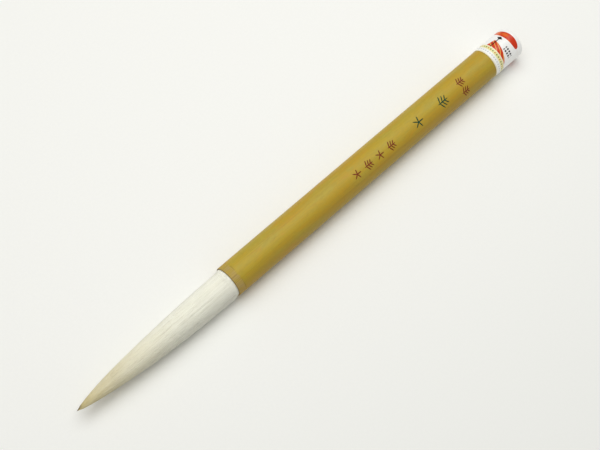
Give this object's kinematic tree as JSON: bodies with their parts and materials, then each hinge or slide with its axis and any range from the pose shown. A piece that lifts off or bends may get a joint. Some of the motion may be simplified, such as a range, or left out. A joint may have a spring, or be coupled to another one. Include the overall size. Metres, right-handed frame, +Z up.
{
  "type": "calligraphy brush",
  "caption": "Calligraphy brush with a long pointed tuft of pale hair set in a bamboo handle with engraved ornaments and a printed sleeve at its far end.",
  "frame": {"origin": "under the middle of the brush, on the surface that it lies on", "axes": "+X along the brush from the hair's point to the far end of the handle, +Z up, +Y to the left when looking along +X"},
  "size_m": [0.25, 0.0144, 0.0144],
  "materials": {
    "bamboo": "smooth natural cane skin with fine lengthwise fibres",
    "plug_wood": "plain turned wood",
    "sleeve_film": "white printed film, soft gloss",
    "goat_hair": "fine straight creamy white hair, darker and yellower towards the point",
    "hemp_fibre": "dull bast fibre",
    "binding_thread": "waxed cotton thread",
    "rosin": "melted dark resin",
    "glue": "clear amber glue",
    "red_pigment": "matt red-brown lacquer rubbed into the engraving",
    "green_pigment": "matt dark green lacquer rubbed into the engraving"
  },
  "bodies": {
    "root": {"bamboo_handle": "bamboo", "end_plug": "plug_wood", "printed_sleeve": "sleeve_film", "mantle_hair": "goat_hair", "lining_hair": "goat_hair", "core_hair": "goat_hair", "hemp_wrap": "hemp_fibre", "root_thread": "binding_thread", "rosin_seal": "rosin", "socket_glue": "glue", "red_ornament_1": "red_pigment", "red_ornament_2": "red_pigment", "red_ornament_3": "red_pigment", "red_ornament_4": "red_pigment", "red_pair_ornament_1": "red_pigment", "red_pair_ornament_2": "red_pigment", "green_ornament_1": "green_pigment", "green_ornament_2": "green_pigment"}
  },
  "joints": []
}
